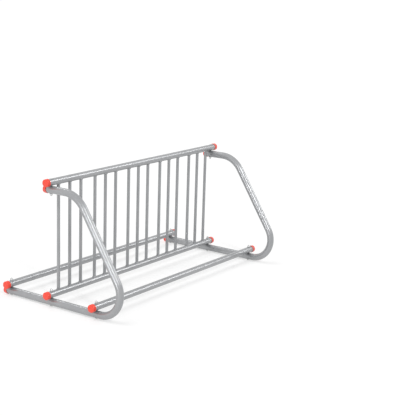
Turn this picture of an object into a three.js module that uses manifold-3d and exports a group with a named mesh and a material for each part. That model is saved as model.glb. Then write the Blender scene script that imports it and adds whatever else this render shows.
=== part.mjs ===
// Two-sided grid rack for ten bicycles, standing on the floor. Millimetres, +Z up.
// Four long rails run along X. Two identical bent end frames stand in planes across the rails,
// with their bends on the front (-Y) side. Fifteen bars in five groups of three join the centre
// rail to the top rail. The origin is on the floor, under the middle of the rack.

import * as THREE from 'three';
import { mergeVertices } from 'three/addons/utils/BufferGeometryUtils.js';
import Module from 'manifold-3d';

// Tubes
const RAIL_DIAMETER = 41.3;
const RAIL_WALL = 2.4;
const FRAME_DIAMETER = 44.5;
const FRAME_WALL = 2.7;
const BAR_DIAMETER = 19.5;
const BAR_WALL = 1.8;

// Rails: length, height of the top rail's axis over the centre rail's, how far they stand out past
// the end frames, the front one's distance from the bend, and the side play to a frame cap's mouth
const RAIL_LENGTH = 1690;
const RAIL_RISE = 673;
const RAIL_OVERHANG = 47;
const FRONT_RAIL_TO_BEND = 33;
const RAIL_TO_CAP = 1.35;

// Bars: groups spread evenly between the first and the last bar, each that far from its rail end
const BAR_GROUPS = 5;
const BARS_PER_GROUP = 3;
const SLOT_PITCH = 96.7;
const END_BAR_INSET = 107.5;

// End frames: reach of the floor run to both sides of the grid, bends, and the slope's lean from
// upright. The top run ends where its cap clears the top rail
const FLOOR_RUN_END_Y = 368;
const FOOT_REACH = 519;
const FOOT_BEND_RADIUS = 140;
const SHOULDER_BEND_RADIUS = 170;
const SLOPE_LEAN = THREE.MathUtils.degToRad(33);

// Caps
const CAP_OVERLAP = 20;
const CAP_WALL = 2.6;
const CAP_END_THICKNESS = 4;
const CAP_EDGE_RADIUS = 3;

// Fasteners: the low bolts have hexagon heads, the top ones low round heads
const BOLT_DIAMETER = 9.5;
const BOLT_HEAD_FLATS = 16;
const BOLT_HEAD_HEIGHT = 6;
const ROUND_HEAD_DIAMETER = 20;
const ROUND_HEAD_HEIGHT = 3;
const ROUND_HEAD_EDGE = 1;
const NUT_FLATS = 16;
const NUT_HEIGHT = 8;
const THREAD_PAST_NUT = 5;
const WASHER_DIAMETER = 21;
const WASHER_THICKNESS = 2;
const BOLT_HOLE_CLEARANCE = 0.6;

// Gap left between faces that touch, and play of a cap or nut round what it is on
const SEAT_GAP = 0.3;

// Facets
const RAIL_SIDES = 20;
const FRAME_SIDES = 20;
const BORE_SIDES = 12;
const BAR_SIDES = 12;
const CAP_SIDES = 20;
const SHANK_SIDES = 10;
const HOLE_SIDES = 12;
const WASHER_SIDES = 16;
const HEAD_SIDES = 16;
const FOOT_BEND_STEPS = 12;
const SHOULDER_BEND_STEPS = 7;
const CAP_EDGE_STEPS = 2;

const railRadius = RAIL_DIAMETER / 2;
const frameRadius = FRAME_DIAMETER / 2;
const barRadius = BAR_DIAMETER / 2;
const boltRadius = BOLT_DIAMETER / 2;

// Heights: the floor runs stand clear of the floor on their bolt heads
const floorRunZ = BOLT_HEAD_HEIGHT + SEAT_GAP + frameRadius;
const lowRailZ = floorRunZ + frameRadius + SEAT_GAP + railRadius;
const topRailZ = lowRailZ + RAIL_RISE;
const topRunZ = topRailZ - railRadius - SEAT_GAP - frameRadius;

// Place of the frames along the rails
const frameX = RAIL_LENGTH / 2 - RAIL_OVERHANG;

// Depths, measured from the grid's plane while building: the origin is midway
const frontRailY = -FOOT_REACH + FOOT_BEND_RADIUS + FRONT_RAIL_TO_BEND;
const topRunEndY = railRadius + RAIL_TO_CAP + CAP_OVERLAP;
const rearRailY = FLOOR_RUN_END_Y - topRunEndY;
const frontmostY = -FOOT_REACH - frameRadius;
const rearmostY = FLOOR_RUN_END_Y + SEAT_GAP + CAP_END_THICKNESS;

const silver = { color: 0xa3a6aa, roughness: 0.42, metalness: 0.35 };
const red = { color: 0xf0523f, roughness: 0.5, metalness: 0 };
const zinc = { color: 0xc3c7cb, roughness: 0.3, metalness: 0.9 };

const wasm = await Module();
wasm.setup();

function toSolid(geometry) {
  const bare = geometry.clone();
  bare.deleteAttribute('normal');
  bare.deleteAttribute('uv');
  const merged = mergeVertices(bare, 1e-4);
  const mesh = new wasm.Mesh({
    numProp: 3,
    vertProperties: new Float32Array(merged.attributes.position.array),
    triVerts: new Uint32Array(merged.index.array),
  });
  return new wasm.Manifold(mesh);
}

function toGeometry(solid) {
  const mesh = solid.getMesh();
  const geometry = new THREE.BufferGeometry();
  geometry.setAttribute('position', new THREE.BufferAttribute(mesh.vertProperties, 3));
  geometry.setIndex(new THREE.BufferAttribute(mesh.triVerts, 1));
  geometry.computeVertexNormals();
  return geometry;
}

// A turned shape standing on Z, from [radius, height] points
function turned(profile, sides) {
  const points = profile.map(([radius, height]) => new THREE.Vector2(radius, height));
  return new THREE.LatheGeometry(points, sides).rotateX(Math.PI / 2);
}

// A solid rod standing on Z from `low` to `high`
function rod(radius, low, high, sides) {
  return turned([[0, low], [radius, low], [radius, high], [0, high]], sides);
}

// An open tube standing on Z from `low` to `high`
function tube(radius, bore, low, high, sides, boreSides) {
  const outer = toSolid(rod(radius, low, high, sides));
  const inner = toSolid(rod(bore, low - 1, high + 1, boreSides));
  return toGeometry(outer.subtract(inner));
}

// A hexagonal prism standing on Z, `flats` across
function hexagon(flats, low, high) {
  return rod(flats / 2 / Math.cos(Math.PI / 6), low, high, 6);
}

function cut(geometry, cutters) {
  let solid = toSolid(geometry);
  for (const cutter of cutters) solid = solid.subtract(toSolid(cutter));
  return toGeometry(solid);
}

// Rails

function boltHole(x, y, low, high) {
  return rod(boltRadius + BOLT_HOLE_CLEARANCE, low, high, HOLE_SIDES).translate(x, y, 0);
}

function rail() {
  const half = RAIL_LENGTH / 2;
  const bore = railRadius - RAIL_WALL;
  const pipe = tube(railRadius, bore, -half, half, RAIL_SIDES, BORE_SIDES).rotateY(Math.PI / 2);
  return cut(pipe, [-frameX, frameX].map((x) => boltHole(x, 0, -RAIL_DIAMETER, RAIL_DIAMETER)));
}

// End frame: the route of the tube's axis in the YZ plane, as stations round each bend

class FrameRoute extends THREE.Curve {
  constructor() {
    super();
    const turnOfShoulder = Math.PI / 2 - SLOPE_LEAN;
    const foot = new THREE.Vector2(-FOOT_REACH + FOOT_BEND_RADIUS, floorRunZ + FOOT_BEND_RADIUS);
    const outward = new THREE.Vector2(-Math.cos(SLOPE_LEAN), Math.sin(SLOPE_LEAN));
    const upSlope = new THREE.Vector2(Math.sin(SLOPE_LEAN), Math.cos(SLOPE_LEAN));
    const slopeStart = foot.clone().addScaledVector(outward, FOOT_BEND_RADIUS);
    const toCorner = (topRunZ - slopeStart.y) / upSlope.y;
    const cornerY = slopeStart.x + toCorner * upSlope.x;
    const tangentLength = SHOULDER_BEND_RADIUS * Math.tan(turnOfShoulder / 2);
    const shoulder = new THREE.Vector2(cornerY + tangentLength, topRunZ - SHOULDER_BEND_RADIUS);

    this.stations = [{ y: FLOOR_RUN_END_Y, z: floorRunZ, heading: Math.PI }];
    this.addBend(foot, FOOT_BEND_RADIUS, Math.PI, Math.PI / 2 - SLOPE_LEAN, FOOT_BEND_STEPS);
    this.addBend(shoulder, SHOULDER_BEND_RADIUS, turnOfShoulder, 0, SHOULDER_BEND_STEPS);
    this.stations.push({ y: topRunEndY, z: topRunZ, heading: 0 });
    this.steps = this.stations.length - 1;
  }

  // Both bends turn clockwise, seen with +Y to the right and +Z up
  addBend(centre, radius, headingIn, headingOut, steps) {
    for (let step = 0; step <= steps; step += 1) {
      const heading = headingIn + (headingOut - headingIn) * step / steps;
      const y = centre.x - radius * Math.sin(heading);
      const z = centre.y + radius * Math.cos(heading);
      this.stations.push({ y, z, heading });
    }
  }

  stationAt(t) {
    return this.stations[Math.round(t * this.steps)];
  }

  getPointAt(t) {
    const { y, z } = this.stationAt(t);
    return new THREE.Vector3(0, y, z);
  }

  getTangentAt(t) {
    const { heading } = this.stationAt(t);
    return new THREE.Vector3(0, Math.cos(heading), Math.sin(heading));
  }
}

function ring(radius, sides) {
  const turn = 2 * Math.PI / sides;
  return Array.from({ length: sides }, (_, index) => new THREE.Vector2(
    radius * Math.cos(index * turn),
    radius * Math.sin(index * turn),
  ));
}

function endFrame(railPlaces) {
  const route = new FrameRoute();
  const section = new THREE.Shape(ring(frameRadius, FRAME_SIDES));
  section.holes.push(new THREE.Path(ring(frameRadius - FRAME_WALL, BORE_SIDES)));
  const bent = new THREE.ExtrudeGeometry(section, {
    steps: route.steps,
    extrudePath: route,
    bevelEnabled: false,
  });
  const holes = railPlaces.map(({ y, runZ }) => {
    return boltHole(0, y, runZ - FRAME_DIAMETER, runZ + FRAME_DIAMETER);
  });
  return cut(bent, holes);
}

// Bars, coped to the round of both rails

function coping(z) {
  const reach = BAR_DIAMETER;
  return rod(railRadius + SEAT_GAP, -reach, reach, RAIL_SIDES).rotateY(Math.PI / 2).translate(0, 0, z);
}

function bar() {
  const bore = barRadius - BAR_WALL;
  const pipe = tube(barRadius, bore, lowRailZ, topRailZ, BAR_SIDES, BAR_SIDES);
  return cut(pipe, [coping(lowRailZ), coping(topRailZ)]);
}

function barPlaces() {
  const firstBar = -RAIL_LENGTH / 2 + END_BAR_INSET;
  const groupWidth = (BARS_PER_GROUP - 1) * SLOT_PITCH;
  const groupPitch = (-2 * firstBar - groupWidth) / (BAR_GROUPS - 1);
  const places = [];
  for (let group = 0; group < BAR_GROUPS; group += 1) {
    for (let member = 0; member < BARS_PER_GROUP; member += 1) {
      places.push(firstBar + group * groupPitch + member * SLOT_PITCH);
    }
  }
  return places;
}

// Caps: a sleeve with a closed, rounded end, over a tube that ends at z = 0 and comes from below

function cap(tubeRadius) {
  const bore = tubeRadius + SEAT_GAP;
  const outer = bore + CAP_WALL;
  const face = SEAT_GAP + CAP_END_THICKNESS;
  const profile = [[0, SEAT_GAP], [bore, SEAT_GAP], [bore, -CAP_OVERLAP], [outer, -CAP_OVERLAP]];
  for (let step = 0; step <= CAP_EDGE_STEPS; step += 1) {
    const angle = Math.PI / 2 * step / CAP_EDGE_STEPS;
    profile.push([
      outer - CAP_EDGE_RADIUS + CAP_EDGE_RADIUS * Math.cos(angle),
      face - CAP_EDGE_RADIUS + CAP_EDGE_RADIUS * Math.sin(angle),
    ]);
  }
  profile.push([0, face]);
  return turned(profile, CAP_SIDES);
}

// Fasteners, standing on Z with the bolt's bearing face at z = 0 and its thread end up

const gripLength = FRAME_DIAMETER + SEAT_GAP + RAIL_DIAMETER;
const washerZ = SEAT_GAP + gripLength + SEAT_GAP;
const nutZ = washerZ + WASHER_THICKNESS + SEAT_GAP;

function hexagonHead() {
  return hexagon(BOLT_HEAD_FLATS, -BOLT_HEAD_HEIGHT, 0);
}

function roundHead() {
  const radius = ROUND_HEAD_DIAMETER / 2;
  const crown = boltRadius;
  const profile = [
    [0, -ROUND_HEAD_HEIGHT],
    [crown, -ROUND_HEAD_HEIGHT],
    [radius, -ROUND_HEAD_EDGE],
    [radius, 0],
    [0, 0],
  ];
  return turned(profile, HEAD_SIDES);
}

function bolt(head) {
  const overlap = ROUND_HEAD_EDGE;
  const shank = toSolid(rod(boltRadius, -overlap, nutZ + NUT_HEIGHT + THREAD_PAST_NUT, SHANK_SIDES));
  return toGeometry(toSolid(head).add(shank));
}

function nut() {
  const body = hexagon(NUT_FLATS, nutZ, nutZ + NUT_HEIGHT);
  return cut(body, [rod(boltRadius + SEAT_GAP, 0, 2 * nutZ, HOLE_SIDES)]);
}

function washer() {
  const hole = boltRadius + BOLT_HOLE_CLEARANCE;
  return tube(WASHER_DIAMETER / 2, hole, washerZ, washerZ + WASHER_THICKNESS, WASHER_SIDES, HOLE_SIDES);
}

// The rack

const rack = new THREE.Group();
rack.position.y = -(frontmostY + rearmostY) / 2;

function addPiece(parent, name, geometry, look) {
  const mesh = new THREE.Mesh(geometry, new THREE.MeshStandardMaterial(look));
  mesh.name = name;
  parent.add(mesh);
  return mesh;
}

// Where each rail lies, and the frame tube under it
const rails = [
  { name: 'top', y: 0, z: topRailZ, runZ: topRunZ },
  { name: 'centre', y: 0, z: lowRailZ, runZ: floorRunZ },
  { name: 'front', y: frontRailY, z: lowRailZ, runZ: floorRunZ },
  { name: 'rear', y: rearRailY, z: lowRailZ, runZ: floorRunZ },
];
const ends = [
  { name: 'left', side: -1 },
  { name: 'right', side: 1 },
];

for (const { name, y, z } of rails) {
  addPiece(rack, `${name}_rail`, rail(), silver).position.set(0, y, z);
  for (const end of ends) {
    const piece = addPiece(rack, `${name}_rail_cap_${end.name}`, cap(railRadius), red);
    piece.position.set(end.side * RAIL_LENGTH / 2, y, z);
    piece.rotation.y = end.side * Math.PI / 2;
  }
}

for (const { name: endName, side } of ends) {
  const end = new THREE.Group();
  end.position.x = side * frameX;
  rack.add(end);
  addPiece(end, `end_frame_${endName}`, endFrame(rails), silver);

  const tubeEnds = [
    { name: 'floor', y: FLOOR_RUN_END_Y, z: floorRunZ },
    { name: 'top', y: topRunEndY, z: topRunZ },
  ];
  for (const { name, y, z } of tubeEnds) {
    const piece = addPiece(end, `frame_${name}_cap_${endName}`, cap(frameRadius), red);
    piece.position.set(0, y, z);
    piece.rotation.x = -Math.PI / 2;
  }

  // Low bolts come up from under the frame; the top one comes down through the top rail
  for (const { name, y, z } of rails) {
    const stack = new THREE.Group();
    const fromAbove = name === 'top';
    const head = fromAbove ? roundHead() : hexagonHead();
    const bearingZ = fromAbove ? z + railRadius + SEAT_GAP : BOLT_HEAD_HEIGHT;
    stack.position.set(0, y, bearingZ);
    stack.rotation.x = fromAbove ? Math.PI : 0;
    end.add(stack);
    addPiece(stack, `${name}_bolt_${endName}`, bolt(head), zinc);
    addPiece(stack, `${name}_washer_${endName}`, washer(), zinc);
    addPiece(stack, `${name}_nut_${endName}`, nut(), zinc);
  }
}

barPlaces().forEach((x, index) => {
  const number = String(index + 1).padStart(2, '0');
  addPiece(rack, `bar_${number}`, bar(), silver).position.x = x;
});

export default rack;
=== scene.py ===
"""Dresses the two-sided grid rack: smooth tubes, weld beads, moulded caps, fasteners and finishes.

Everything is in metres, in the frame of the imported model: +X along the rails, -Y the front, +Z up.
"""

import math

import bpy
from mathutils import Matrix, Vector


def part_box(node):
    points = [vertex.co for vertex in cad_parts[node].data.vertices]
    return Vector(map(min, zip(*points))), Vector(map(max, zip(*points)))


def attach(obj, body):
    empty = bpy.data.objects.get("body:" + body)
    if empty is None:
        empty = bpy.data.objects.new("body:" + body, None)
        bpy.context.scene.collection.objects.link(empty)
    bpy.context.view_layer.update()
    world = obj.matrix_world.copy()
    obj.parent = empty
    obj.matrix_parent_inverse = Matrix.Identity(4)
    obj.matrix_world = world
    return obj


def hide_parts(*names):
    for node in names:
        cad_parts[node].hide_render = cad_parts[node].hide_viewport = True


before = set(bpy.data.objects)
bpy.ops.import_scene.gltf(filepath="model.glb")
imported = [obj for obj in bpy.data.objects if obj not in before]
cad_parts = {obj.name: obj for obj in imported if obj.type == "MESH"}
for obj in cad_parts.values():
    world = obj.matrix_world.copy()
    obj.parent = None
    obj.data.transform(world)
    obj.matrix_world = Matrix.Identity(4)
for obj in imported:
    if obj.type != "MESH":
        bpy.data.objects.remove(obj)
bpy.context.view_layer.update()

MM = 0.001
BODY = "root"

# Sizes that the frame's boxes don't give: tubes and their bends
RAIL_WALL = 2.4 * MM
FRAME_WALL = 2.7 * MM
BAR_WALL = 1.8 * MM
TUBE_EDGE = 0.4 * MM
FOOT_BEND_RADIUS = 140 * MM
SHOULDER_BEND_RADIUS = 170 * MM
SLOPE_LEAN = math.radians(33)
FOOT_REACH = 519 * MM
TOP_RUN_PAST_RAIL = 42 * MM
SEAT_GAP = 0.3 * MM

# Fasteners; a face's share is of the width over flats
HOLE_DIAMETER = 10.7 * MM
BOLT_DIAMETER = 9.5 * MM
THREAD_PITCH = 1.59 * MM
THREAD_DEPTH = 0.8 * MM
THREAD_LENGTH = 26 * MM
THREAD_RUN_OUT = 1.2 * MM
THREAD_STEPS = 4
HEX_HEAD_HEIGHT = 6 * MM
HEX_HEAD_CHAMFER = 1.4 * MM
HEX_HEAD_FACE = 0.97
WASHER_FACE = 0.98
WASHER_FACE_HEIGHT = 0.4 * MM
WASHER_FACE_FOOT = 0.5 * MM
ROUND_HEAD_HEIGHT = 3 * MM
ROUND_HEAD_RIM = 0.7 * MM
ROUND_HEAD_EDGE = 0.15 * MM
NUT_CHAMFER = 0.9 * MM
NUT_FACE = 0.98
NUT_PLAY = 0.1 * MM
WASHER_EDGE = 0.4 * MM

# Caps: the sleeve's lip, the rounded shoulder, and the gate mark in the crowned face
CAP_END_THICKNESS = 4 * MM
CAP_CROWN = 1 * MM
CAP_SHOULDER_RADIUS = 3.4 * MM
CAP_SHOULDER_TURN = 78
CAP_LIP_EDGE = 0.5 * MM
CAP_LIP_END = 2.2 * MM
CAP_SLEEVE_START = 2.8 * MM
CAP_SLEEVE_INSET = 0.35 * MM
CAP_DRAFT = 0.1 * MM
CAP_BORE_BEVEL = 1 * MM
GATE_RADIUS = 2.2 * MM
GATE_EDGE = 0.05 * MM
GATE_WALL_DEPTH = 0.35 * MM
GATE_DEPTH = 0.4 * MM
GATE_FLOOR = 0.8

# Weld beads, rippled once for each dab of the torch; a bead's centre stands off both tubes by
# the lift, its thickness ripples and wanders by shares of its radius, and the wander's phase
# grows along the rack
BEAD_RADIUS = 2.6 * MM
BEAD_LIFT = 0.25 * BEAD_RADIUS
DABS = 19
DAB_RIPPLE = 0.09
BEAD_WANDER = 0.05
WANDER_PHASE = 40

# Facets of the smooth pieces, and the angles from which their edges are sharp
TUBE_SIDES = 64
BAR_SIDES = 40
CAP_SIDES = 72
FASTENER_SIDES = 48
HOLE_SIDES = 32
BEAD_STEPS = 152
BEAD_SIDES = 10
BEND_STEP = math.radians(3)
TUBE_SHARP = math.radians(35)
CAP_SHARP = math.radians(50)
FASTENER_SHARP = math.radians(28)

ENDS = ("left", "right")
RAILS = ("top", "centre", "front", "rear")


# Reading the frame

def middle(node):
    low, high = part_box(node)
    return (low + high) / 2


def size(node):
    low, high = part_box(node)
    return high - low


rail_radius = size("top_rail").z / 2
frame_radius = size("end_frame_left").x / 2
bar_nodes = sorted(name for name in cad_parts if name.startswith("bar_"))
bar_radius = size(bar_nodes[0]).x / 2
rail_axis = {rail: middle(f"{rail}_rail") for rail in RAILS}


# Mesh helpers

def mesh_of(name, vertices, faces):
    mesh = bpy.data.meshes.new(name)
    mesh.from_pydata([tuple(vertex) for vertex in vertices], [], faces)
    return mesh


def add_object(name, data):
    item = bpy.data.objects.new(name, data)
    bpy.context.scene.collection.objects.link(item)
    return item


def add_piece(name, mesh, look, sharp_angle, nodes=()):
    """A piece that rides on the rack, in the material of a look of (slot, material), in place of the
    CAD nodes named, which it hides.
    """
    mesh.shade_smooth()
    mesh.set_sharp_from_angle(angle=sharp_angle)
    slot_name, material = look
    mesh.materials.clear()
    mesh.materials.append(material)
    piece = add_object(name, mesh)
    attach(piece, BODY)
    if nodes:
        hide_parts(*nodes)


def turned(profile, sides, place, closed=False):
    """Vertices and faces of a profile of (radius, height) points turned round Z, then placed."""
    vertices, rows = [], []
    for radius, height in profile:
        if radius == 0:
            rows.append([len(vertices)] * sides)
            vertices.append(place @ Vector((0, 0, height)))
            continue
        rows.append(list(range(len(vertices), len(vertices) + sides)))
        for side in range(sides):
            angle = 2 * math.pi * side / sides
            point = Vector((radius * math.cos(angle), radius * math.sin(angle), height))
            vertices.append(place @ point)
    faces = []
    pairs = list(zip(rows, rows[1:]))
    if closed:
        pairs.append((rows[-1], rows[0]))
    for lower, upper in pairs:
        for side in range(sides):
            after = (side + 1) % sides
            corners = [lower[side], lower[after], upper[after], upper[side]]
            corners = list(dict.fromkeys(corners))
            if len(corners) > 2:
                faces.append(corners)
    return vertices, faces


def loft(rings, closed=False):
    """Vertices and faces through rings of equal length; the last joins the first if closed."""
    vertices = [point for ring in rings for point in ring]
    count = len(rings[0])
    faces = []
    spans = len(rings) if closed else len(rings) - 1
    for row in range(spans):
        below, above = row * count, (row + 1) % len(rings) * count
        for side in range(count):
            after = (side + 1) % count
            faces.append([below + side, below + after, above + after, above + side])
    return vertices, faces


def fillet(centre, radius, turn, steps):
    """Points of an arc in the (radius, height) plane, from outward through turn degrees."""
    points = []
    for step in range(1, steps + 1):
        angle = math.radians(turn * step / steps)
        points.append((centre[0] + radius * math.cos(angle), centre[1] + radius * math.sin(angle)))
    return points


def upright(point):
    return Matrix.Translation(point)


def facing(point, direction):
    """A place whose +Z looks along direction."""
    turn = Vector((0, 0, 1)).rotation_difference(Vector(direction))
    return Matrix.Translation(point) @ turn.to_matrix().to_4x4()


def bored(mesh, cutters):
    """The mesh with the cutters' volumes taken out."""
    body = add_object("work", mesh)
    tools = []
    for vertices, faces in cutters:
        cutter = add_object("cutter", mesh_of("cutter", vertices, faces))
        modifier = body.modifiers.new("hole", "BOOLEAN")
        modifier.operation = "DIFFERENCE"
        modifier.solver = "EXACT"
        modifier.object = cutter
        tools.append(cutter)
    depsgraph = bpy.context.evaluated_depsgraph_get()
    result = bpy.data.meshes.new_from_object(body.evaluated_get(depsgraph))
    for item in [body, *tools]:
        bpy.data.objects.remove(item)
    return result


# Materials: noise scales are per metre
BUMP_DISTANCE = 0.2 * MM


def new_material(name):
    material = bpy.data.materials.new(name)
    material.use_nodes = True
    nodes, links = material.node_tree.nodes, material.node_tree.links
    return material, nodes, links, nodes["Principled BSDF"]


def noise(nodes, links, coordinates, scale, detail):
    texture = nodes.new("ShaderNodeTexNoise")
    texture.inputs["Scale"].default_value = scale
    texture.inputs["Detail"].default_value = detail
    links.new(coordinates.outputs["Object"], texture.inputs["Vector"])
    return texture.outputs["Fac"]


def ramp(nodes, links, value, *stops):
    """Colours between two stops of (position, colour)."""
    node = nodes.new("ShaderNodeValToRGB")
    for element, (position, colour) in zip(node.color_ramp.elements, stops):
        element.position = position
        element.color = (*colour, 1)
    links.new(value, node.inputs["Fac"])
    return node.outputs["Color"]


def spread(nodes, links, value, low, high):
    """Maps 0..1 to low..high."""
    node = nodes.new("ShaderNodeMapRange")
    node.inputs["To Min"].default_value = low
    node.inputs["To Max"].default_value = high
    links.new(value, node.inputs["Value"])
    return node.outputs["Result"]


def bump(nodes, links, height, strength):
    node = nodes.new("ShaderNodeBump")
    node.inputs["Strength"].default_value = strength
    node.inputs["Distance"].default_value = BUMP_DISTANCE
    links.new(height, node.inputs["Height"])
    return node.outputs["Normal"]


def powder_coat():
    """Silver-grey powder coat: fine orange peel, metallic fleck, faint cloudiness."""
    material, nodes, links, shader = new_material("silver_powder_coat")
    coordinates = nodes.new("ShaderNodeTexCoord")
    cloud = noise(nodes, links, coordinates, scale=9, detail=3)
    fleck = noise(nodes, links, coordinates, scale=2600, detail=1)
    peel = noise(nodes, links, coordinates, scale=1200, detail=1)
    mix = nodes.new("ShaderNodeMix")
    mix.data_type = "RGBA"
    mix.blend_type = "SOFT_LIGHT"
    mix.inputs["Factor"].default_value = 0.35
    tone = ramp(nodes, links, cloud, (0.3, (0.338, 0.345, 0.355)), (0.7, (0.376, 0.382, 0.391)))
    spark = ramp(nodes, links, fleck, (0.35, (0.46, 0.46, 0.46)), (0.68, (0.58, 0.58, 0.58)))
    links.new(tone, mix.inputs["A"])
    links.new(spark, mix.inputs["B"])
    links.new(mix.outputs["Result"], shader.inputs["Base Color"])
    links.new(spread(nodes, links, cloud, 0.27, 0.33), shader.inputs["Roughness"])
    shader.inputs["Metallic"].default_value = 0.5
    links.new(bump(nodes, links, peel, strength=0.02), shader.inputs["Normal"])
    return material


def moulded_plastic():
    """Red-orange polyethylene: glossy, with faint flow marks and a fine mould texture."""
    material, nodes, links, shader = new_material("red_plastic")
    coordinates = nodes.new("ShaderNodeTexCoord")
    flow = noise(nodes, links, coordinates, scale=60, detail=3)
    grain = noise(nodes, links, coordinates, scale=1500, detail=2)
    tone = ramp(nodes, links, flow, (0.3, (0.87, 0.063, 0.034)), (0.7, (0.94, 0.082, 0.047)))
    links.new(tone, shader.inputs["Base Color"])
    links.new(spread(nodes, links, flow, 0.15, 0.21), shader.inputs["Roughness"])
    links.new(bump(nodes, links, grain, strength=0.06), shader.inputs["Normal"])
    return material


def zinc_plate():
    """Bright zinc on steel, with a faint patchy passivation."""
    material, nodes, links, shader = new_material("zinc_plate")
    coordinates = nodes.new("ShaderNodeTexCoord")
    patch = noise(nodes, links, coordinates, scale=180, detail=3)
    tone = ramp(nodes, links, patch, (0.3, (0.62, 0.63, 0.62)), (0.7, (0.74, 0.75, 0.76)))
    links.new(tone, shader.inputs["Base Color"])
    links.new(spread(nodes, links, patch, 0.24, 0.38), shader.inputs["Roughness"])
    shader.inputs["Metallic"].default_value = 1.0
    links.new(bump(nodes, links, patch, strength=0.1), shader.inputs["Normal"])
    return material


# Looks: the record's slot and the material
PAINT = ("painted_tube", powder_coat())
PLASTIC = ("end_cap", moulded_plastic())
ZINC = ("zinc", zinc_plate())


# Rails

def hole_cutter(x, y, low, high):
    profile = [(0, low), (HOLE_DIAMETER / 2, low), (HOLE_DIAMETER / 2, high), (0, high)]
    return turned(profile, HOLE_SIDES, upright(Vector((x, y, 0))))


def sleeve(outer, bore, length, edge):
    """Closed profile of a tube or ring from 0 to length, its four edges broken."""
    return [
        (bore, edge), (bore + edge, 0), (outer - edge, 0), (outer, edge),
        (outer, length - edge), (outer - edge, length), (bore + edge, length),
        (bore, length - edge),
    ]


def build_rails():
    for rail in RAILS:
        low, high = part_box(f"{rail}_rail")
        axis = rail_axis[rail]
        length = high.x - low.x
        profile = sleeve(rail_radius, rail_radius - RAIL_WALL, length, TUBE_EDGE)
        place = facing(Vector((low.x, axis.y, axis.z)), (1, 0, 0))
        name = f"{rail}_rail_tube"
        tube = mesh_of(name, *turned(profile, TUBE_SIDES, place, closed=True))
        reach = 2 * rail_radius
        cutters = [
            hole_cutter(middle(f"{rail}_bolt_{end}").x, axis.y, axis.z - reach, axis.z + reach)
            for end in ENDS
        ]
        add_piece(name, bored(tube, cutters), PAINT, TUBE_SHARP, [f"{rail}_rail"])


# End frames

def frame_route(node):
    """Stations (y, z, heading) on the bent tube's axis, from its floor end to its top end."""
    low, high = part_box(node)
    floor_z = low.z + frame_radius
    top_z = high.z - frame_radius
    foot_y = rail_axis["centre"].y - FOOT_REACH
    foot = Vector((foot_y + FOOT_BEND_RADIUS, floor_z + FOOT_BEND_RADIUS))
    up_slope = Vector((math.sin(SLOPE_LEAN), math.cos(SLOPE_LEAN)))
    slope_start = foot + FOOT_BEND_RADIUS * Vector((-up_slope.y, up_slope.x))
    corner_y = slope_start.x + (top_z - slope_start.y) / up_slope.y * up_slope.x
    shoulder_turn = math.pi / 2 - SLOPE_LEAN
    tangent = SHOULDER_BEND_RADIUS * math.tan(shoulder_turn / 2)
    shoulder = Vector((corner_y + tangent, top_z - SHOULDER_BEND_RADIUS))

    def bend(centre, radius, heading_in, heading_out):
        steps = math.ceil((heading_in - heading_out) / BEND_STEP)
        for step in range(steps + 1):
            heading = heading_in + (heading_out - heading_in) * step / steps
            y = centre.x - radius * math.sin(heading)
            z = centre.y + radius * math.cos(heading)
            yield y, z, heading

    return [
        (high.y, floor_z, math.pi),
        *bend(foot, FOOT_BEND_RADIUS, math.pi, shoulder_turn),
        *bend(shoulder, SHOULDER_BEND_RADIUS, shoulder_turn, 0),
        (rail_axis["top"].y + TOP_RUN_PAST_RAIL, top_z, 0),
    ]


def frame_ring(x, station, radius):
    """Points round the bent tube's axis at a station."""
    y, z, heading = station
    across = Vector((0, -math.sin(heading), math.cos(heading)))
    points = []
    for side in range(TUBE_SIDES):
        angle = 2 * math.pi * side / TUBE_SIDES
        offset = Vector((math.cos(angle), 0, 0)) + math.sin(angle) * across
        points.append(Vector((x, y, z)) + radius * offset)
    return points


def build_end_frames():
    for end in ENDS:
        node = f"end_frame_{end}"
        name = f"{node}_tube"
        x = middle(node).x
        route = frame_route(node)
        rings = [frame_ring(x, station, frame_radius) for station in route]
        rings += [frame_ring(x, station, frame_radius - FRAME_WALL) for station in reversed(route)]
        tube = mesh_of(name, *loft(rings, closed=True))
        reach = 2 * frame_radius
        cutters = []
        for rail in RAILS:
            run_z = route[-1][1] if rail == "top" else route[0][1]
            cutters.append(hole_cutter(x, rail_axis[rail].y, run_z - reach, run_z + reach))
        add_piece(name, bored(tube, cutters), PAINT, TUBE_SHARP, [node])


# Bars with their coped ends, and the weld beads round them

def saddle(radius, angle):
    """How far the rail's surface lies from its axis at a point of the bar's round."""
    return math.sqrt(rail_radius ** 2 - (radius * math.sin(angle)) ** 2)


def coped_ring(x, y, rail_z, radius, up):
    """Points round a bar's end, up or down from the rail at rail_z."""
    points = []
    for side in range(BAR_SIDES):
        angle = 2 * math.pi * side / BAR_SIDES
        seat = saddle(radius, angle) + SEAT_GAP
        place = (x + radius * math.cos(angle), y + radius * math.sin(angle), rail_z + up * seat)
        points.append(place)
    return points


def build_bars():
    low_z, high_z = rail_axis["centre"].z, rail_axis["top"].z
    bore = bar_radius - BAR_WALL
    for node in bar_nodes:
        x, y = middle(node).x, middle(node).y
        rings = [
            coped_ring(x, y, low_z, bar_radius, 1), coped_ring(x, y, high_z, bar_radius, -1),
            coped_ring(x, y, high_z, bore, -1), coped_ring(x, y, low_z, bore, 1),
        ]
        tube = mesh_of(f"{node}_tube", *loft(rings, closed=True))
        add_piece(f"{node}_tube", tube, PAINT, TUBE_SHARP, [node])
        for name, rail_z, up in (("foot", low_z, 1), ("head", high_z, -1)):
            bead = mesh_of(f"weld_{node}_{name}", *weld(x, y, rail_z, up))
            add_piece(f"weld_{node}_{name}", bead, PAINT, TUBE_SHARP)


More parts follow.
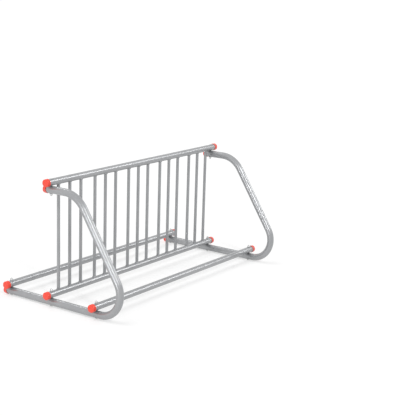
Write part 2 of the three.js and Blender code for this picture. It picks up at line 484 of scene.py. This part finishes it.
def weld(x, y, rail_z, up):
    """A fillet bead round a bar where it meets the rail, a little different from bar to bar."""
    rings = []
    for step in range(BEAD_STEPS):
        angle = 2 * math.pi * step / BEAD_STEPS
        wander = BEAD_WANDER * math.sin(3 * angle + WANDER_PHASE * x)
        radius = BEAD_RADIUS * (1 + DAB_RIPPLE * math.sin(DABS * angle) + wander)
        centre_radius = bar_radius + BEAD_LIFT
        seat = saddle(bar_radius, angle) + BEAD_LIFT
        points = []
        for side in range(BEAD_SIDES):
            turn = 2 * math.pi * side / BEAD_SIDES
            out = centre_radius + radius * math.cos(turn)
            rise = seat + radius * math.sin(turn)
            place = (x + out * math.cos(angle), y + out * math.sin(angle), rail_z + up * rise)
            points.append(place)
        rings.append(points[::-1] if up > 0 else points)
    return loft(rings, closed=True)


# Caps

def cap_profile(length, outer, bore):
    """Sleeve with a lip at its mouth, a rounded shoulder and a crowned face with a gate mark."""
    face_inside = length - CAP_END_THICKNESS
    sleeve_radius = outer - CAP_SLEEVE_INSET
    edge = length - CAP_CROWN
    shoulder = edge - CAP_SHOULDER_RADIUS
    profile = [
        (0, face_inside), (bore - CAP_BORE_BEVEL, face_inside),
        (bore, face_inside - CAP_BORE_BEVEL), (bore, CAP_LIP_EDGE), (bore + CAP_LIP_EDGE, 0),
        (outer - CAP_LIP_EDGE, 0), (outer, CAP_LIP_EDGE), (outer, CAP_LIP_END),
        (sleeve_radius, CAP_SLEEVE_START), (sleeve_radius + CAP_DRAFT, shoulder),
    ]
    centre = (sleeve_radius - CAP_SHOULDER_RADIUS + CAP_DRAFT, shoulder)
    profile += fillet(centre, CAP_SHOULDER_RADIUS, CAP_SHOULDER_TURN, steps=8)
    rim_radius, rim_height = profile[-1]
    for share in (0.8, 0.6, 0.4, 0.2):
        radius = GATE_RADIUS + (rim_radius - GATE_RADIUS) * share
        rise = (length - rim_height) * (1 - (radius / rim_radius) ** 2)
        profile.append((radius, rim_height + rise))
    top = length - GATE_EDGE
    profile += [
        (GATE_RADIUS, top), (GATE_RADIUS * GATE_FLOOR, top - GATE_WALL_DEPTH),
        (0, top - GATE_DEPTH),
    ]
    return profile


def build_cap(node, tube_radius, outward):
    """A slip-over cap on the end of a tube whose axis runs along outward."""
    low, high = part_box(node)
    axis_index = max(range(3), key=lambda i: abs(outward[i]))
    across = [i for i in range(3) if i != axis_index]
    outer = max((high - low)[i] for i in across) / 2
    profile = cap_profile((high - low)[axis_index], outer, tube_radius + SEAT_GAP)
    mouth = middle(node)
    mouth[axis_index] = low[axis_index] if outward[axis_index] > 0 else high[axis_index]
    name = f"{node}_moulding"
    mesh = mesh_of(name, *turned(profile, CAP_SIDES, facing(mouth, outward)))
    add_piece(name, mesh, PLASTIC, CAP_SHARP, [node])


def build_caps():
    for end, side in zip(ENDS, (-1, 1)):
        for rail in RAILS:
            build_cap(f"{rail}_rail_cap_{end}", rail_radius, Vector((side, 0, 0)))
        for tube_end in ("floor", "top"):
            build_cap(f"frame_{tube_end}_cap_{end}", frame_radius, Vector((0, 1, 0)))


# Fasteners

def build_fasteners():
    for end in ENDS:
        for rail in RAILS:
            build_bolt(rail, end)
            build_nut(f"{rail}_nut_{end}")
            build_washer(f"{rail}_washer_{end}")


def ring_of(radius, height, place):
    """A ring of points at a height; radius is a function of the angle."""
    points = []
    for side in range(FASTENER_SIDES):
        angle = 2 * math.pi * side / FASTENER_SIDES
        out = radius(angle)
        points.append(place @ Vector((out * math.cos(angle), out * math.sin(angle), height)))
    return points


def circle(radius):
    return lambda angle: radius


def hexagon(flats, limit):
    """Outline of a hexagon as a radius by angle, cut off where it passes limit."""
    def radius(angle):
        folded = (angle + math.pi / 6) % (math.pi / 3) - math.pi / 6
        return min(flats / 2 / math.cos(folded), limit)
    return radius


def hexagon_corner(flats):
    return flats / 2 / math.cos(math.pi / 6)


def capped(rings):
    """A closed body through the rings, with a fan over the first and the last."""
    vertices, faces = loft(rings)
    count = len(rings[0])
    for row in (0, len(rings) - 1):
        centre = len(vertices)
        vertices.append(sum(rings[row], Vector()) / count)
        for side in range(count):
            corner = [row * count + side, row * count + (side + 1) % count, centre]
            faces.append(corner[::-1] if row == 0 else corner)
    return vertices, faces


def hexagon_head(flats, place):
    """Rings of a hexagon head with a chamfered face and a washer face under it."""
    height = HEX_HEAD_HEIGHT
    corner = hexagon_corner(flats)
    layers = [
        (0, flats / 2 * HEX_HEAD_FACE),
        (HEX_HEAD_CHAMFER, corner),
        (height - WASHER_FACE_FOOT, corner),
        (height - WASHER_FACE_HEIGHT, flats / 2 * WASHER_FACE),
        (height, flats / 2 * HEX_HEAD_FACE),
    ]
    return [ring_of(hexagon(flats, limit), level, place) for level, limit in layers]


def round_head(radius, place):
    """Rings of a low domed head, from its crown to its flat bearing face."""
    height = ROUND_HEAD_HEIGHT
    dome = height - ROUND_HEAD_RIM
    steps = 10
    rings = []
    for step in range(1, steps + 1):
        share = step / steps
        rings.append(ring_of(circle(radius * share), dome * share ** 2, place))
    rings.append(ring_of(circle(radius), height - ROUND_HEAD_EDGE, place))
    rings.append(ring_of(circle(radius - ROUND_HEAD_EDGE), height, place))
    return rings


def thread(root, depth, height):
    """Outline of a thread at a height as a radius by angle."""
    def radius(angle):
        phase = (height / THREAD_PITCH - angle / (2 * math.pi)) % 1
        return root + depth * abs(2 * phase - 1)
    return radius


def threaded_shank(start, thread_start, end, place):
    """Rings of a shank along +Z whose last stretch carries a helical thread."""
    crest = BOLT_DIAMETER / 2
    root = crest - THREAD_DEPTH
    step = THREAD_PITCH / THREAD_STEPS
    rings = [ring_of(circle(crest), height, place) for height in (start, thread_start)]
    for index in range(1, int((end - thread_start) / step)):
        height = thread_start + index * step
        depth = (crest - root) * min(1, (end - height) / THREAD_RUN_OUT)
        rings.append(ring_of(thread(root, depth, height), height, place))
    rings.append(ring_of(circle(root), end, place))
    return rings


def build_bolt(rail, end):
    """The low bolts point up from a hexagon head, the top ones down from a round head."""
    node = f"{rail}_bolt_{end}"
    low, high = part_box(node)
    width = min(high.x - low.x, high.y - low.y)
    length = high.z - low.z
    head_end = middle(node)
    if rail == "top":
        head_end.z = high.z
        place = facing(head_end, (0, 0, -1))
        head_height = ROUND_HEAD_HEIGHT
        rings = round_head(width / 2, place)
    else:
        head_end.z = low.z
        place = upright(head_end)
        head_height = HEX_HEAD_HEIGHT
        rings = hexagon_head(width, place)
    rings += threaded_shank(head_height, length - THREAD_LENGTH, length, place)
    mesh = mesh_of(f"{node}_zinc", *capped(rings))
    add_piece(f"{node}_zinc", mesh, ZINC, FASTENER_SHARP, [node])


def build_nut(node):
    low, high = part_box(node)
    flats = min(high.x - low.x, high.y - low.y)
    height = high.z - low.z
    place = upright(Vector((middle(node).x, middle(node).y, low.z)))
    face = flats / 2 * NUT_FACE
    corner = hexagon_corner(flats)
    bore = BOLT_DIAMETER / 2 + NUT_PLAY
    mouth = bore + NUT_CHAMFER
    outside = [(0, face), (NUT_CHAMFER, corner), (height - NUT_CHAMFER, corner), (height, face)]
    inside = [(height, mouth), (height - NUT_CHAMFER, bore), (NUT_CHAMFER, bore), (0, mouth)]
    rings = [ring_of(hexagon(flats, limit), level, place) for level, limit in outside]
    rings += [ring_of(circle(radius), level, place) for level, radius in inside]
    mesh = mesh_of(f"{node}_zinc", *loft(rings, closed=True))
    add_piece(f"{node}_zinc", mesh, ZINC, FASTENER_SHARP, [node])


def build_washer(node):
    low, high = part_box(node)
    profile = sleeve((high.x - low.x) / 2, HOLE_DIAMETER / 2, high.z - low.z, WASHER_EDGE)
    place = upright(Vector((middle(node).x, middle(node).y, low.z)))
    mesh = mesh_of(f"{node}_zinc", *turned(profile, FASTENER_SIDES, place, closed=True))
    add_piece(f"{node}_zinc", mesh, ZINC, TUBE_SHARP, [node])


# Studio: the floor as it is seen has its own light and a share that takes shadows. What lights
# the rack is a paper-coloured floor and a fill from the world
FLOOR_HALF = 400
FLOOR_PAPER = 0.84
FLOOR_GLOW = 0.55
FLOOR_SHADE = 0.48
WORLD_FILL = 0.62


def light_path_shown(nodes, links):
    """1 for rays that show the background: seen, mirrored or passed through."""
    path = nodes.new("ShaderNodeLightPath")
    shown = path.outputs["Is Camera Ray"]
    for output in ("Is Glossy Ray", "Is Transmission Ray"):
        either = nodes.new("ShaderNodeMath")
        either.operation = "MAXIMUM"
        links.new(shown, either.inputs[0])
        links.new(path.outputs[output], either.inputs[1])
        shown = either.outputs[0]
    return shown


def show_by_path(tree, lighting, shown, output_type):
    """Surface output that lights the rack as one shader and is seen as the other."""
    nodes, links = tree.nodes, tree.links
    mix = nodes.new("ShaderNodeMixShader")
    links.new(light_path_shown(nodes, links), mix.inputs["Fac"])
    links.new(lighting.outputs[0], mix.inputs[1])
    links.new(shown.outputs[0], mix.inputs[2])
    output = nodes.new(output_type)
    links.new(mix.outputs[0], output.inputs["Surface"])


def grey_diffuse(nodes, level):
    shader = nodes.new("ShaderNodeBsdfDiffuse")
    shader.inputs["Color"].default_value = (level, level, level, 1)
    return shader


def build_floor():
    half = FLOOR_HALF
    corners = [(-half, -half, 0), (half, -half, 0), (half, half, 0), (-half, half, 0)]
    mesh = mesh_of("floor", corners, [[0, 1, 2, 3]])
    floor = add_object("floor", mesh)
    material = bpy.data.materials.new("pale_floor")
    material.use_nodes = True
    tree = material.node_tree
    tree.nodes.clear()
    glow = tree.nodes.new("ShaderNodeEmission")
    glow.inputs["Strength"].default_value = FLOOR_GLOW
    shown = tree.nodes.new("ShaderNodeAddShader")
    tree.links.new(grey_diffuse(tree.nodes, FLOOR_SHADE).outputs[0], shown.inputs[0])
    tree.links.new(glow.outputs[0], shown.inputs[1])
    paper = grey_diffuse(tree.nodes, FLOOR_PAPER)
    show_by_path(tree, paper, shown, "ShaderNodeOutputMaterial")
    mesh.materials.append(material)


def build_world():
    world = bpy.data.worlds.new("studio")
    bpy.context.scene.world = world
    world.use_nodes = True
    tree = world.node_tree
    tree.nodes.clear()
    fill = tree.nodes.new("ShaderNodeBackground")
    fill.inputs["Strength"].default_value = WORLD_FILL
    white = tree.nodes.new("ShaderNodeBackground")
    white.inputs["Color"].default_value = (1, 1, 1, 1)
    show_by_path(tree, fill, white, "ShaderNodeOutputWorld")


def add_sun(name, direction, spread_degrees, power, in_gloss=True):
    """A distant soft lamp; direction points from the rack to it."""
    data = bpy.data.lights.new(name, "SUN")
    data.angle = math.radians(spread_degrees)
    data.energy = power
    lamp = add_object(name, data)
    lamp.visible_glossy = in_gloss
    lamp.rotation_euler = (-Vector(direction)).to_track_quat("-Z", "Y").to_euler()


def build_lamps():
    add_sun("overhead", (-0.35, 0.20, 0.92), 35, 1.0, in_gloss=False)
    add_sun("back_rim", (0.30, 0.64, 0.71), 9, 0.14)
    add_sun("strip_right", (0.69, -0.53, 0.49), 15, 0.45)
    add_sun("strip_front", (-0.415, -0.693, 0.59), 7, 0.75)
    add_sun("strip_left", (-0.99, 0.06, 0.06), 5, 0.6)


# Camera: the photograph's frame is a square of this many pixels
PHOTO_WIDTH = 416
FOCAL_PIXELS = 1046.65
CAMERA_AZIMUTH = math.radians(-55.508)
CAMERA_ELEVATION = math.radians(13.283)
CAMERA_ROLL = math.radians(1.904)
CAMERA_TARGET = Vector((0.51250, -0.10763, 0.39415))
CAMERA_DISTANCE = 7.00623
CAMERA_SENSOR = 36
CAMERA_REACH = 100


def build_camera():
    azimuth, elevation = CAMERA_AZIMUTH, CAMERA_ELEVATION
    back = Vector((
        math.sin(azimuth) * math.cos(elevation),
        -math.cos(azimuth) * math.cos(elevation),
        math.sin(elevation),
    ))
    right = Vector((0, 0, 1)).cross(back).normalized()
    up = back.cross(right)
    rolled_right = math.cos(CAMERA_ROLL) * right + math.sin(CAMERA_ROLL) * up
    rolled_up = back.cross(rolled_right)
    data = bpy.data.cameras.new("camera")
    data.sensor_width = CAMERA_SENSOR
    data.lens = CAMERA_SENSOR * FOCAL_PIXELS / PHOTO_WIDTH
    data.clip_end = CAMERA_REACH
    camera = add_object("camera", data)
    turn = Matrix((rolled_right, rolled_up, back)).transposed().to_4x4()
    camera.matrix_world = Matrix.Translation(CAMERA_TARGET + CAMERA_DISTANCE * back) @ turn
    bpy.context.scene.camera = camera


build_rails()
build_end_frames()
build_bars()
build_caps()
build_fasteners()
build_floor()
build_world()
build_lamps()
build_camera()
bpy.context.scene.view_settings.view_transform = "Standard"
